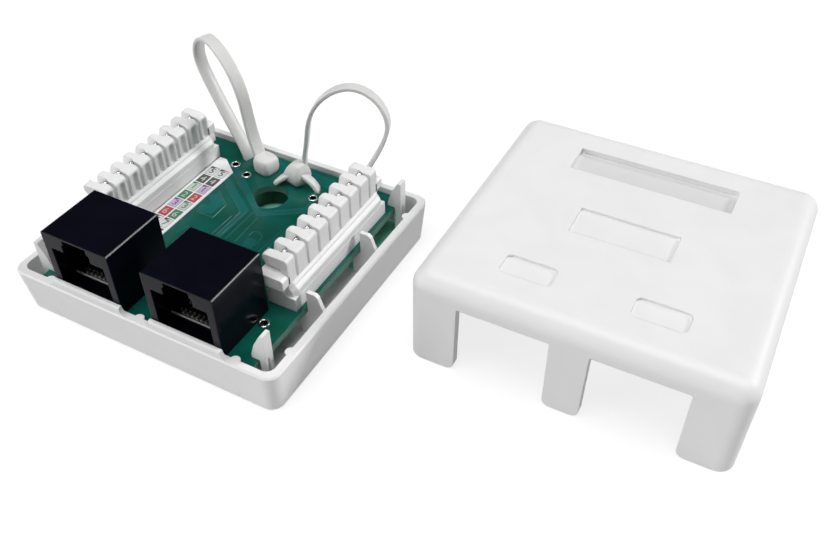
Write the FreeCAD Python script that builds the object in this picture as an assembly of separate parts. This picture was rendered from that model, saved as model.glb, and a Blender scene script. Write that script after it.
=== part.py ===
import FreeCAD, Part
import math
import os

# Surface mount jack box for two sockets, shown open: base with its wired board, and the cover
# standing beside it. Millimetres, origin at the centre of the base's underside, +X to the
# right along the side with the jacks, +Y away from the jacks, +Z up.

# Base moulding
base_width = 62.0
base_depth = 59.0
rim_height = 10.0
base_wall = 1.65
base_floor = 1.8
base_draft = 0.8
base_corner = 2.6
foot_break = 0.5
rim_break = 0.35

# Circuit board and how it lies in the base
board_side_gap = 4.15
board_end_gap = 0.45
board_thickness = 1.6
board_underside = 7.45
board_corner = 0.6
access_hole = 8.0
access_hole_x = -0.25
access_hole_y = 14.5

# Jacks
jack_width = 15.7
jack_depth = 13.93
jack_height = 14.35
jack_spacing = 23.24
jack_overhang = 0.76
socket_width = 12.5
socket_shoulder = 10.95
latch_width = 5.6
latch_flare = 0.5
latch_roof = 0.4
latch_step_height = 1.5
socket_back_wall = 2.0
carrier_setback = 3.16
carrier_height = 2.65
contact_pitch = 1.02
contact_count = 8
contact_width = 0.4
comb_wall = 0.5

# Punch-down blocks
idc_pitch = 3.81
idc_slots = 8
idc_spacing = 43.3
idc_centre_x = -1.5
idc_centre_y = 4.7
idc_height = 11.4
idc_tooth_width = 5.6
idc_end_tooth = 3.0
idc_ledge_overhang = 1.8
idc_ledge_height = 8.1
idc_ledge_thickness = 2.6
idc_slot_width = 0.45
idc_slot_bottom = 5.75
idc_foot_left = 2.25
idc_foot_right = 4.25
idc_foot_height = 3.05
blade_thickness = 0.45
blade_width = 2.1
blade_height = 11.1
blade_offset = 0.35

# Colour label
label_width = 6.2
label_thickness = 0.15
label_back_gap = 6.37

# Cable ties
strap_width = 2.3
strap_thickness = 0.9
tie_head_height = 3.3
tie_head_length = 5.0
tie_head_width = 4.6

# Plated holes
ring_outer = 2.2
ring_bore = 1.35
ring_lip = 0.08
plating = 0.12

# Cover
cover_overhang = 0.2
cover_height = 21.1
cover_wall = 1.65
cover_top = 1.9
cover_edge = 3.5
cover_corner = 3.2
cover_gap = 12.2
cover_centre_y = 25.9
cover_turn = 0.9

# Clearances
slide_fit = 0.1
easy_fit = 0.25
wall_fit = 0.35

# Places that follow from the sizes above
inner_x = base_width / 2 - base_wall
inner_y = base_depth / 2 - base_wall
board_width = 2 * (inner_x - board_side_gap)
board_depth = 2 * (inner_y - board_end_gap)
board_top = board_underside + board_thickness
board_front = -board_depth / 2
board_back = board_depth / 2
front_face = -base_depth / 2
cover_width = base_width + 2 * cover_overhang
cover_depth = base_depth
cover_centre_x = base_width / 2 + cover_gap + cover_width / 2
jack_front = board_front - jack_overhang
jack_back = jack_front + jack_depth
idc_half_length = (idc_slots - 1) / 2 * idc_pitch + idc_end_tooth


def vector(x, y, z):
    return FreeCAD.Vector(x, y, z)


def front_plane(y):
    """Draws (x, z) on the plane at this y."""
    return lambda a, b: vector(a, y, b)


def side_plane(x):
    """Draws (y, z) on the plane at this x."""
    return lambda a, b: vector(x, a, b)


def level_plane(z):
    """Draws (x, y) on the level at this z."""
    return lambda a, b: vector(a, b, z)


def outline(place, corners):
    """Face inside a closed run of corners (a, b, radius), drawn on a plane.

    A radius of 0 leaves the corner sharp; any other makes an arc tangent to both runs.
    """
    points = [place(a, b) for a, b, radius in corners]
    runs = []
    arcs = []
    for i, (a, b, radius) in enumerate(corners):
        here = points[i]
        before = points[i - 1] - here
        after = points[(i + 1) % len(points)] - here
        if radius == 0:
            arcs.append((here, None, here))
            continue
        half_turn = before.getAngle(after) / 2
        back = radius / math.tan(half_turn)
        start = here + FreeCAD.Vector(before).normalize() * back
        end = here + FreeCAD.Vector(after).normalize() * back
        inward = (start + end) * 0.5 - here
        centre = here + FreeCAD.Vector(inward).normalize() * (radius / math.sin(half_turn))
        middle = centre + (here - centre).normalize() * radius
        arcs.append((start, middle, end))
    for i, (start, middle, end) in enumerate(arcs):
        if middle is not None:
            runs.append(Part.Arc(start, middle, end).toShape())
        following = arcs[(i + 1) % len(arcs)][0]
        if end.distanceToPoint(following) > 1e-6:
            runs.append(Part.LineSegment(end, following).toShape())
    return Part.Face(Part.Wire(runs))


def rectangle(width, depth, radius, x=0.0, y=0.0):
    """Corners of a rounded rectangle round (x, y)."""
    return [
        (x - width / 2, y - depth / 2, radius),
        (x + width / 2, y - depth / 2, radius),
        (x + width / 2, y + depth / 2, radius),
        (x - width / 2, y + depth / 2, radius),
    ]


def upright(corners, bottom, top):
    """Prism on a plan outline, from one level to another."""
    return outline(level_plane(bottom), corners).extrude(vector(0, 0, top - bottom))


def along_y(corners, start, end):
    """Prism on an (x, z) outline, from one y to another."""
    return outline(front_plane(start), corners).extrude(vector(0, end - start, 0))


def along_x(corners, start, end):
    """Prism on a (y, z) outline, from one x to another."""
    return outline(side_plane(start), corners).extrude(vector(end - start, 0, 0))


def plan_block(x_range, y_range, z_range):
    """Straight-sided block between pairs of x, y and z."""
    size = [high - low for low, high in (x_range, y_range, z_range)]
    return Part.makeBox(*size, vector(x_range[0], y_range[0], z_range[0]))


def mirrored_x(shape):
    return shape.mirror(vector(0, 0, 0), vector(1, 0, 0))


def moved(shape, x=0.0, y=0.0, z=0.0):
    copy = shape.copy()
    copy.translate(vector(x, y, z))
    return copy


def edges_at_level(shape, level):
    """Edges that lie wholly at one height."""
    return [
        edge for edge in shape.Edges
        if abs(edge.BoundBox.ZMin - level) < 1e-4 and abs(edge.BoundBox.ZMax - level) < 1e-4
    ]


# Base

rib_radius = 1.0
rib_reach = 0.85
front_rib_inset = 7.35
side_rib_inset = 6.15
front_rib_places = (front_rib_inset - inner_x, 0.1, inner_x - front_rib_inset)
side_rib_places = (side_rib_inset - inner_y, inner_y - side_rib_inset)
rib_sunk = rib_radius - rib_reach
raised_top = rim_height + 1.75
raised_start = jack_spacing / 2 - jack_width / 2 - wall_fit
raised_end = jack_spacing / 2 + jack_width / 2 + easy_fit
raised_fillet = 1.7
raised_setback = 0.35
locator_top = 13.0
locator_thickness = 0.9
locator_y = 9.75
locator_shelf = 1.6
clip_width = 2.15
clip_thickness = 1.45
clip_bite = 1.5
clip_top = 15.6
clip_slot = 0.55
clip_front_y = board_front + 3.0
clip_back_y = board_back - 2.4
screw_hole = 4.2
screw_head = 8.0
screw_pad = 1.2
screw_pad_rim = 1.2
rail_thickness = 1.2


def base_shell():
    """Tray with drafted walls, its foot and rim edges broken."""
    half_x = base_width / 2
    half_y = base_depth / 2
    foot_x = half_x - base_draft
    foot_y = half_y - base_draft
    body = Part.makeWedge(-half_x, 0, -half_y, -foot_y, -foot_x,
                          half_x, rim_height, half_y, foot_y, foot_x)
    body.rotate(vector(0, 0, 0), vector(1, 0, 0), -90)
    body.translate(vector(0, 0, rim_height))
    corners = [edge for edge in body.Edges if edge.BoundBox.ZLength > rim_height / 2]
    body = body.makeFillet(base_corner, corners)
    body = body.makeChamfer(foot_break, edges_at_level(body, 0))
    body = body.makeChamfer(rim_break, edges_at_level(body, rim_height))
    hollow = upright(rectangle(2 * inner_x, 2 * inner_y, base_corner - base_wall / 2),
                     base_floor, rim_height + 1)
    return body.cut(hollow)


def raised_wall():
    """Stretch of the front wall that closes the foot of the right cover notch."""
    face = [
        (raised_start - raised_fillet, rim_height - base_wall, 0),
        (raised_end + raised_fillet, rim_height - base_wall, 0),
        (raised_end + raised_fillet, rim_height, 0),
        (raised_end, rim_height, raised_fillet * 0.96),
        (raised_end, raised_top, 0),
        (raised_start, raised_top, 0),
        (raised_start, rim_height, raised_fillet * 0.96),
        (raised_start - raised_fillet, rim_height, 0),
    ]
    outer = front_face + raised_setback
    inner = jack_front - slide_fit
    section = [
        (outer, rim_height - base_wall, 0),
        (outer, raised_top, (inner - outer) * 0.6),
        (inner, raised_top, 0),
        (inner, rim_height - base_wall, 0),
    ]
    wall = along_y(face, outer, inner)
    return wall.common(along_x(section, raised_start - raised_fillet, raised_end + raised_fillet))


def jack_pocket(x):
    """Relief in the front wall that lets the jack's face stand against the wall."""
    half = jack_width / 2 + easy_fit
    return plan_block((x - half, x + half), (jack_front - slide_fit, -inner_y + 1),
                      (board_top - slide_fit, rim_height + 1))


def wall_ribs():
    """Half-round ribs down the inner wall faces, which guide the cover's skirt."""
    ribs = []
    height = rim_height - base_floor
    for x in front_rib_places:
        ribs.append(Part.makeCylinder(rib_radius, height, vector(x, -inner_y - rib_sunk, base_floor)))
    for y in side_rib_places:
        for side in (-1, 1):
            spot = vector(side * (inner_x + rib_sunk), y, base_floor)
            ribs.append(Part.makeCylinder(rib_radius, height, spot))
    return ribs


def locator_rib(y, top):
    """Upright rib on the right wall: a shelf under the board, a stop beside it, a tongue above."""
    shelf = board_width / 2 - locator_shelf
    stop = board_width / 2 + wall_fit
    tongue = inner_x - 0.6
    face = [
        (shelf, base_floor - 0.5, 0),
        (inner_x + 0.5, base_floor - 0.5, 0),
        (inner_x + 0.5, rim_height - rim_break, 0),
        (tongue + 0.3, rim_height - rim_break, 0),
        (tongue - 0.3, rim_height + 1.2, 0),
        (tongue - 0.7, top - 0.5, 0),
        (tongue - 1.3, top, 0),
        (stop, top, 0),
        (stop, board_underside, 0),
        (shelf, board_underside, 0),
    ]
    return along_y(face, y - locator_thickness / 2, y + locator_thickness / 2)


def clip(y):
    """Springy finger on the right whose barb hooks over the board's edge."""
    inner = board_width / 2 + slide_fit * 2
    outer = inner + clip_thickness
    tip = board_width / 2 - clip_bite
    hook = board_top + slide_fit
    face = [
        (inner, base_floor - 0.5, 0),
        (outer, base_floor - 0.5, 0),
        (outer, clip_top, 0),
        (outer - 0.8, clip_top, 0.3),
        (tip + 0.9, hook + 3.7, 0.5),
        (tip, hook + 0.9, 0),
        (tip, hook, 0),
        (inner, hook, 0),
    ]
    finger = along_y(face, y - clip_width / 2, y + clip_width / 2)
    slot_y = y - clip_width / 2 + clip_slot
    slot = plan_block((outer - clip_slot, outer + 1), (slot_y, slot_y + clip_slot),
                      (base_floor, hook + 0.6))
    return finger.cut(slot)


def support_rail(side):
    """Rail on the floor under a punch-down block, which carries the board there."""
    x = idc_centre_x + side * idc_spacing / 2
    face = rectangle(rail_thickness, 2 * idc_half_length, 0, x, idc_centre_y)
    return upright(face, base_floor - 0.5, board_underside)


def front_rail(x):
    """Rail on the floor along the back of a jack, which takes the push of a plug."""
    face = rectangle(jack_width * 0.7, rail_thickness, 0, x, jack_back - 3.0)
    return upright(face, base_floor - 0.5, board_underside)


def make_base():
    shape = base_shell()
    for x in (-jack_spacing / 2, jack_spacing / 2):
        shape = shape.cut(jack_pocket(x))
    both = [raised_wall(), clip(clip_front_y), clip(clip_back_y)]
    low = board_top + idc_foot_height - wall_fit
    added = both + [mirrored_x(piece) for piece in both] + wall_ribs()
    for y in (-locator_y, locator_y):
        added += [locator_rib(y, locator_top), mirrored_x(locator_rib(y, low))]
    added += [support_rail(-1), support_rail(1)]
    added += [front_rail(-jack_spacing / 2), front_rail(jack_spacing / 2)]
    pad = Part.makeCylinder(screw_head / 2 + screw_pad_rim, screw_pad + 0.5,
                            vector(access_hole_x, access_hole_y, base_floor - 0.5))
    added.append(pad)
    shape = shape.multiFuse(added).removeSplitter()
    floor_height = base_floor + screw_pad
    hole = Part.makeCylinder(screw_hole / 2, floor_height + 2,
                             vector(access_hole_x, access_hole_y, -1))
    return shape.cut(hole)


# Circuit board

slot_width = strap_width + 0.6
slot_height = strap_thickness + 0.5
left_slot_outer = (-12.8, board_back - 3.1)
left_slot_inner = (-7.4, board_back - 4.95)
right_slot_inner = (7.5, board_back - 5.7)
right_slot_outer = (16.0, board_back - 2.8)
label_near = idc_centre_x - idc_spacing / 2 + idc_foot_right + easy_fit
label_far = label_near + label_width
label_back = board_back - label_back_gap
ring_places = (
    (label_far - 1.5, label_back - 0.45),
    (-9.4, board_back - 8.9),
    (8.2, board_back - 8.9),
    (jack_spacing / 2 + jack_width / 2 + 1.18, jack_back - 3.27),
)


def bearing(start, end):
    """Angle in degrees of the plan line from one place to another."""
    return math.degrees(math.atan2(end[1] - start[1], end[0] - start[0]))


def tie_slot(place, angle):
    """Slot through the board for a strap whose run under the board has this bearing."""
    tall = board_thickness + 2
    shape = upright(rectangle(slot_height, slot_width, 0),
                    board_underside - 1, board_underside - 1 + tall)
    shape.rotate(vector(0, 0, 0), vector(0, 0, 1), angle)
    return moved(shape, place[0], place[1])


def make_board():
    shape = upright(rectangle(board_width, board_depth, board_corner), board_underside, board_top)
    cutters = [Part.makeCylinder(access_hole / 2, board_thickness + 2,
                                 vector(access_hole_x, access_hole_y, board_underside - 1))]
    for x in front_rib_places:
        cutters.append(Part.makeCylinder(rib_radius + easy_fit, board_thickness + 2,
                                         vector(x, -inner_y - rib_sunk, board_underside - 1)))
    for x, y in ring_places:
        hole = round_prism(ring_bore / 2 + plating, board_underside - 1, board_top + 1)
        cutters.append(moved(hole, x, y))
    left = bearing(left_slot_outer, left_slot_inner)
    right = bearing(right_slot_inner, right_slot_outer)
    cutters += [tie_slot(left_slot_outer, left), tie_slot(left_slot_inner, left)]
    cutters += [tie_slot(right_slot_inner, right), tie_slot(right_slot_outer, right)]
    for cutter in cutters:
        shape = shape.cut(cutter)
    return shape


def round_prism(radius, bottom, top, sides=10):
    """Small round drawn with flat sides round the Z axis."""
    corners = []
    for i in range(sides):
        turn = 2 * math.pi * i / sides
        corners.append((radius * math.cos(turn), radius * math.sin(turn), 0))
    return upright(corners, bottom, top)


def eyelet(x, y):
    """Plated wall of one hole with its narrow lip on top of the board."""
    barrel = round_prism(ring_bore / 2 + plating, board_underside, board_top)
    lip = round_prism(ring_outer / 2, board_top, board_top + ring_lip)
    bore = round_prism(ring_bore / 2, board_underside - 1, board_top + 1)
    return moved(barrel.fuse(lip).cut(bore), x, y)


def make_plated_holes():
    return Part.makeCompound([eyelet(x, y) for x, y in ring_places])


# Jacks

socket_back = jack_back - socket_back_wall
shoulder = board_top + socket_shoulder
carrier_front = jack_front + carrier_setback
carrier_top = board_top + carrier_height


def make_jack_housing(x):
    """Hooded shell, open below and in front, with a latch channel in its roof."""
    top = board_top + jack_height
    half = jack_width / 2
    shell = along_y([
        (x - half, board_top, 0),
        (x + half, board_top, 0),
        (x + half, top, 0.35),
        (x - half, top, 0.35),
    ], jack_front, jack_back)
    latch = latch_width / 2
    step = top - latch_roof - latch_step_height
    channel = along_y([
        (x - socket_width / 2, board_top - 1, 0),
        (x + socket_width / 2, board_top - 1, 0),
        (x + socket_width / 2, shoulder, 0.3),
        (x + latch + latch_flare, shoulder, 0),
        (x + latch + latch_flare, step, 0.15),
        (x + latch, step + latch_flare, 0.15),
        (x + latch, top - latch_roof, 0.2),
        (x - latch, top - latch_roof, 0.2),
        (x - latch, step + latch_flare, 0.15),
        (x - latch - latch_flare, step, 0.15),
        (x - latch - latch_flare, shoulder, 0),
        (x - socket_width / 2, shoulder, 0.3),
    ], jack_front - 1, socket_back)
    return shell.cut(channel)


def contact_places(x):
    """Centres of the contacts across one jack."""
    first = x - (contact_count - 1) / 2 * contact_pitch
    return [first + i * contact_pitch for i in range(contact_count)]


contact_rise = 2.7
contact_foot = carrier_front + 0.5
contact_bend = carrier_front + 1.3
contact_tip = socket_back - 1.6


def make_jack_carrier(x):
    """Contact carrier: a floor block, a rear wall and the comb that parts the contacts."""
    half = socket_width / 2 - slide_fit
    rear = contact_tip + 0.5
    body = along_x([
        (carrier_front, board_top, 0),
        (socket_back, board_top, 0),
        (socket_back, shoulder - 0.6, 0),
        (rear, shoulder - 0.6, 0),
        (rear, carrier_top, 0),
        (carrier_front, carrier_top, 0.2),
    ], x - half, x + half)
    teeth = []
    centres = contact_places(x)
    for i in range(contact_count + 1):
        middle = centres[0] + (i - 0.5) * contact_pitch
        tooth = along_x([
            (carrier_front + 0.5, carrier_top - 0.2, 0),
            (carrier_front + 2.4, carrier_top - 0.2, 0),
            (carrier_front + 2.2, carrier_top + 1.2, 0),
            (carrier_front + 0.9, carrier_top + 1.2, 0),
        ], middle - comb_wall / 2, middle + comb_wall / 2)
        teeth.append(tooth)
    return body.multiFuse(teeth)


def make_contact(x):
    """Spring contact lying on the carrier's front and rising towards the back."""
    thick = contact_width
    return along_x([
        (contact_foot, carrier_top, 0),
        (contact_bend, carrier_top, 0.4),
        (contact_tip, carrier_top + contact_rise, 0),
        (contact_tip, carrier_top + contact_rise + thick, 0),
        (contact_bend - 0.1, carrier_top + thick, 0.6),
        (contact_foot, carrier_top + thick, 0),
    ], x - thick / 2, x + thick / 2)


# Punch-down blocks

tooth_half = idc_tooth_width / 2
block_top = board_top + idc_height
slot_floor = board_top + idc_slot_bottom
ledge_top = board_top + idc_ledge_height
ledge_underside = ledge_top - idc_ledge_thickness
foot_top = board_top + idc_foot_height
skirt_drop = 1.2
skirt_top = foot_top + 3.0
inner_rounding = 1.9
outer_rounding = 1.2
core_half = tooth_half - 0.9


def slot_places():
    first = idc_centre_y - (idc_slots - 1) / 2 * idc_pitch
    return [first + i * idc_pitch for i in range(idc_slots)]


def corner_run(face, toward, reach):
    """Four corners of a rounded top edge, from the side face up and in on to the top."""
    return [
        (face, block_top - reach, 0),
        (face + toward * reach * 0.2, block_top - reach * 0.45, 0),
        (face + toward * reach * 0.55, block_top - reach * 0.12, 0),
        (face + toward * reach, block_top, 0),
    ]


def idc_bar(x, inward):
    """The block's cross-section run along its length, hollow underneath.

    Its top edge is rounder on the side that faces the middle of the board.
    """
    left = x - tooth_half
    right = x + tooth_half
    skirt = x + idc_foot_right - slide_fit
    left_reach = inner_rounding if inward < 0 else outer_rounding
    right_reach = outer_rounding if inward < 0 else inner_rounding
    section = [
        (left, foot_top, 0),
        (x - core_half, foot_top, 0),
        (x - core_half, ledge_underside, 0),
        (x + core_half, ledge_underside, 0),
        (x + core_half, foot_top, 0),
        (skirt, foot_top, 0),
        (skirt, foot_top + skirt_drop, 0),
        (right, skirt_top, 0),
    ]
    section += corner_run(right, -1, right_reach)
    section += corner_run(left, 1, left_reach)[::-1]
    return along_y(section, idc_centre_y - idc_half_length, idc_centre_y + idc_half_length)


def idc_ledge(x, side):
    """Lip that stands out from one end of the block above its foot."""
    start = idc_centre_y + side * (idc_half_length - 0.5)
    end = idc_centre_y + side * (idc_half_length + idc_ledge_overhang)
    low, high = sorted((start, end))
    return along_y([
        (x - tooth_half, ledge_underside, 0),
        (x + tooth_half, ledge_underside, 0),
        (x + tooth_half, ledge_top, 0),
        (x - tooth_half, ledge_top, 0),
    ], low, high)


def wire_slot(x, y):
    """Slit across the block with a short lead-in between two teeth."""
    mouth = 0.65
    slit = idc_slot_width / 2
    return along_x([
        (y - slit, slot_floor, 0),
        (y + slit, slot_floor, 0),
        (y + slit, block_top - 1.6, 0),
        (y + mouth, block_top + slide_fit, 0),
        (y - mouth, block_top + slide_fit, 0),
        (y - slit, block_top - 1.6, 0),
    ], x - tooth_half - 1, x + tooth_half + 1)


def blade_pocket(x, y):
    """Narrow pocket that holds one contact blade, open above."""
    half_x = blade_thickness / 2 + slide_fit
    half_y = blade_width / 2 + slide_fit
    return plan_block((x - half_x, x + half_x), (y - half_y, y + half_y),
                      (board_top - 1, block_top + 1))


def tooth_flute(x, y, side):
    """Upright flute in the side face of a tooth."""
    half_width = 0.85
    depth = 0.45
    face = x + side * tooth_half
    return upright([
        (face + side * 0.1, y - half_width, 0),
        (face + side * 0.1, y + half_width, 0),
        (face - side * depth, y + half_width * 0.4, 0),
        (face - side * depth, y - half_width * 0.4, 0),
    ], slot_floor, block_top - inner_rounding * 0.8)


def end_notch(x, side):
    """Triangular notch in the foot of the block's skirt at one end."""
    end = idc_centre_y + side * idc_half_length
    low, high = sorted((end - side * 1.6, end + side))
    middle = x + tooth_half - 0.3
    return along_y([
        (middle - 1.6, foot_top - 0.5, 0),
        (middle + 1.6, foot_top - 0.5, 0),
        (middle, foot_top + 2.0, 0),
    ], low, high)


def make_idc_body(x, inward):
    ledges = [idc_ledge(x, -1), idc_ledge(x, 1)]
    shape = idc_bar(x, inward).multiFuse(ledges).removeSplitter()
    cutters = []
    for y in slot_places():
        cutters.append(wire_slot(x, y))
        cutters.append(blade_pocket(x + blade_offset, y))
    for i in range(1, idc_slots):
        middle = (slot_places()[i - 1] + slot_places()[i]) / 2
        cutters.append(tooth_flute(x, middle, inward))
    cutters += [end_notch(x, -1), end_notch(x, 1)]
    return shape.cut(Part.makeCompound(cutters))


def make_idc_foot(x):
    """Lower housing: a flange on the board and a core inside the upper block."""
    core = core_half - slide_fit
    foot = along_y([
        (x - idc_foot_left, board_top, 0),
        (x + idc_foot_right, board_top, 0),
        (x + idc_foot_right, foot_top, 0),
        (x + core, foot_top, 0),
        (x + core, ledge_underside, 0),
        (x - core, ledge_underside, 0),
        (x - core, foot_top, 0),
        (x - idc_foot_left, foot_top, 0),
    ], idc_centre_y - idc_half_length - 0.5, idc_centre_y + idc_half_length + 0.5)
    pockets = Part.makeCompound([blade_pocket(x + blade_offset, y) for y in slot_places()])
    return foot.cut(pockets)


def make_blade(x, y):
    """Contact blade: a flat strip standing on the board, slit into two prongs."""
    top = board_top + blade_height
    half = blade_width / 2
    strip = along_x([
        (y - half, board_top, 0),
        (y + half, board_top, 0),
        (y + half, top - 0.5, 0),
        (y + half - 0.4, top, 0),
        (y + 0.45, top, 0),
        (y + 0.15, top - 0.9, 0),
        (y + 0.15, slot_floor, 0),
        (y - 0.15, slot_floor, 0),
        (y - 0.15, top - 0.9, 0),
        (y - 0.45, top, 0),
        (y - half + 0.4, top, 0),
        (y - half, top - 0.5, 0),
    ], x - blade_thickness / 2, x + blade_thickness / 2)
    return strip


# Colour label

label_cut = 3.4


def make_label():
    """Stiff label lying on the board along the left block, one back corner cut off."""
    start = jack_back + 1.0
    return upright([
        (label_near, start, 0),
        (label_far, start, 0),
        (label_far, label_back - label_cut, 0),
        (label_near + label_width * 0.3, label_back, 0),
        (label_near, label_back, 0),
    ], board_top, board_top + label_thickness)


# Cable ties

left_loop_reach = 14.8
left_loop_rise = 25.9
right_loop_reach = 20.1
right_loop_rise = 26.4
loop_sections = 27
tail_sections = 13
under_gap = 0.35
strap_bend = 1.0


def run_under_board(start, end):
    """Strap between two slots: down through one, along under the board, up through the other."""
    span = math.dist(start, end)
    half = strap_thickness / 2
    lower = board_underside - under_gap - strap_thickness
    upper = board_underside - under_gap
    profile = [
        (-half, board_top, 0),
        (-half, lower, strap_bend),
        (span + half, lower, strap_bend),
        (span + half, board_top, 0),
        (span - half, board_top, 0),
        (span - half, upper, 0.2),
        (half, upper, 0.2),
        (half, board_top, 0),
    ]
    shape = along_y(profile, -strap_width / 2, strap_width / 2)
    shape.rotate(vector(0, 0, 0), vector(0, 0, 1), bearing(start, end))
    return moved(shape, start[0], start[1])


def strap(route, width_direction, sections):
    """Flat strap lofted along a smooth route, its width held level in one direction."""
    curve = Part.BSplineCurve()
    curve.interpolate([vector(*point) for point in route])
    across = FreeCAD.Vector(width_direction).normalize() * (strap_width / 2)
    wires = []
    span = curve.LastParameter - curve.FirstParameter
    for i in range(sections):
        at = curve.FirstParameter + span * i / (sections - 1)
        middle = curve.value(at)
        along = FreeCAD.Vector(*curve.tangent(at)[0])
        normal = along.cross(across).normalize() * (strap_thickness / 2)
        corners = [middle - across - normal, middle + across - normal,
                   middle + across + normal, middle - across + normal]
        wires.append(Part.makePolygon(corners + corners[:1]))
    return Part.makeLoft(wires, True, True)


def loop_route(origin, angle, reach, rise, points):
    """Upright loop over a place on the board, in the vertical plane with this bearing.

    Each point is a pair: its share of the loop's reach along the plane, and of its rise.
    """
    along = (math.cos(math.radians(angle)), math.sin(math.radians(angle)))
    route = []
    for share_along, share_up in points:
        out = share_along * reach
        route.append((origin[0] + out * along[0], origin[1] + out * along[1],
                      board_top + share_up * rise))
    return route


def tie_head(x, y, angle):
    """Moulded head lying on the board, its corners cut and its top edges softened."""
    length = tie_head_length
    width = tie_head_width
    plan = rectangle(width, length, 0)
    cut = 1.1
    corners = []
    for a, b, radius in plan:
        inward_a = -math.copysign(cut, a)
        inward_b = -math.copysign(cut, b)
        pair = [(a + inward_a, b, 0), (a, b + inward_b, 0)]
        corners += pair if a * b < 0 else pair[::-1]
    head = upright(corners[::-1], board_top, board_top + tie_head_height)
    head = head.makeChamfer(0.5, edges_at_level(head, board_top + tie_head_height))
    head.rotate(vector(0, 0, 0), vector(0, 0, 1), angle)
    return moved(head, x, y)


def make_left_tie():
    """Tall narrow loop that leaves its head and returns through the board beside the label."""
    angle = bearing(left_slot_outer, left_slot_inner)
    across = vector(-math.sin(math.radians(angle)), math.cos(math.radians(angle)), 0)
    route = loop_route(left_slot_outer, angle, left_loop_reach, left_loop_rise, [
        (0, -0.015), (-0.041, 0.052), (-0.162, 0.141), (-0.446, 0.311), (-0.669, 0.461),
        (-0.878, 0.612), (-1, 0.782), (-0.905, 0.929), (-0.676, 1), (-0.419, 0.963),
        (-0.108, 0.82), (0.068, 0.627), (0.135, 0.442), (0.243, 0.214), (0.338, 0.098),
    ])
    pieces = [run_under_board(left_slot_outer, left_slot_inner)]
    pieces.append(strap(route, across, loop_sections))
    pieces.append(tie_head(left_slot_inner[0] + 1.1, left_slot_inner[1] - 0.45, angle + 8))
    return pieces[0].multiFuse(pieces[1:])


def make_right_tie():
    """Round open loop from its head over the back wall and down behind the right block."""
    angle = bearing(right_slot_inner, right_slot_outer)
    across = vector(-math.sin(math.radians(angle)), math.cos(math.radians(angle)), 0)
    start = (right_slot_inner[0] - 4.1, right_slot_inner[1] + 1.9)
    plane = bearing(start, right_slot_outer)
    route = loop_route(start, plane, right_loop_reach, right_loop_rise, [
        (-0.02, 0.081), (-0.01, 0.195), (0.04, 0.392), (0.085, 0.581), (0.189, 0.759),
        (0.393, 0.922), (0.642, 1), (0.861, 0.953), (1, 0.778), (0.96, 0.604),
        (0.836, 0.396), (0.706, 0.199), (0.642, 0.066), (0.629, -0.015),
    ])
    pieces = [run_under_board(right_slot_inner, right_slot_outer)]
    pieces.append(strap(route, across, loop_sections))
    pieces.append(tie_head(right_slot_inner[0] - 5.9, right_slot_inner[1] - 0.1, -12))
    pieces.append(tie_tail(across))
    return pieces[0].multiFuse(pieces[1:])


def tie_tail(across):
    """Free end that rises from the inner slot through the head and droops beyond it."""
    end = right_slot_inner
    steps = [(0, 0, -0.4), (-0.5, -0.05, 0.9), (-3.1, -0.3, 1.95), (-5.9, -0.9, 2.25),
             (-7.7, -2.1, 1.45), (-8.7, -3.4, 0.65)]
    route = [(end[0] + x, end[1] + y, board_top + z) for x, y, z in steps]
    return strap(route, across, tail_sections)


# Cover

notch_start = raised_start + slide_fit
notch_end = raised_end + raised_fillet
notch_height = 16.1
leg_draft = 0.12
leg_rounding = 1.9
window_width = 32.6
window_front = 13.8
window_back = 21.3
window_depth = 1.1
badge_width = 19.4
badge_front = -5.2
badge_back = 2.35
mark_depth = 0.45
mark_inner = 7.2
mark_outer = 17.1
mark_front = -21.5
mark_back = -16.4


def cover_block():
    """Outside of the cover: rounded corners and a rounded top edge."""
    body = upright(rectangle(cover_width, cover_depth, cover_corner), 0, cover_height)
    return body.makeFillet(cover_edge, edges_at_level(body, cover_height))


def cover_hollow():
    """Inside of the cover, its top edge bevelled so that the wall keeps its thickness."""
    width = cover_width - 2 * cover_wall
    depth = cover_depth - 2 * cover_wall
    body = upright(rectangle(width, depth, cover_corner - cover_wall / 2),
                   -1, cover_height - cover_top)
    return body.makeChamfer(cover_edge - cover_wall, edges_at_level(body, cover_height - cover_top))


def cover_notch(side):
    """Opening in the front wall over one jack, its legs narrowing to rounded feet."""
    corners = [
        (notch_start - leg_rounding, -1, 0),
        (notch_start - leg_rounding, 0, 0),
        (notch_start, 0, leg_rounding * 0.95),
        (notch_start + leg_draft, notch_height, 0.4),
        (notch_end - leg_draft, notch_height, 0.4),
        (notch_end, 0, leg_rounding * 0.95),
        (notch_end + leg_rounding, 0, 0),
        (notch_end + leg_rounding, -1, 0),
    ]
    shape = along_y(corners, -cover_depth / 2 - 1, -cover_depth / 2 + cover_wall * 3)
    return shape if side > 0 else mirrored_x(shape)


def top_recess(x_range, y_range, depth, radius):
    """Shallow pocket with rounded corners in the cover's top."""
    width = x_range[1] - x_range[0]
    length = y_range[1] - y_range[0]
    middle = (sum(x_range) / 2, sum(y_range) / 2)
    return upright(rectangle(width, length, radius, *middle), cover_height - depth, cover_height + 1)


def make_cover():
    shape = cover_block().cut(cover_hollow())
    half_window = window_width / 2
    cutters = [
        cover_notch(1),
        cover_notch(-1),
        top_recess((-half_window, half_window), (window_front, window_back), window_depth, 0),
        top_recess((-badge_width / 2, badge_width / 2), (badge_front, badge_back), mark_depth, 0),
        top_recess((mark_inner, mark_outer), (mark_front, mark_back), mark_depth, 1.2),
        top_recess((-mark_outer, -mark_inner), (mark_front, mark_back), mark_depth, 1.2),
    ]
    for cutter in cutters:
        shape = shape.cut(cutter)
    shape.rotate(vector(0, 0, 0), vector(0, 0, 1), cover_turn)
    return moved(shape, cover_centre_x, cover_centre_y)


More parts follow.
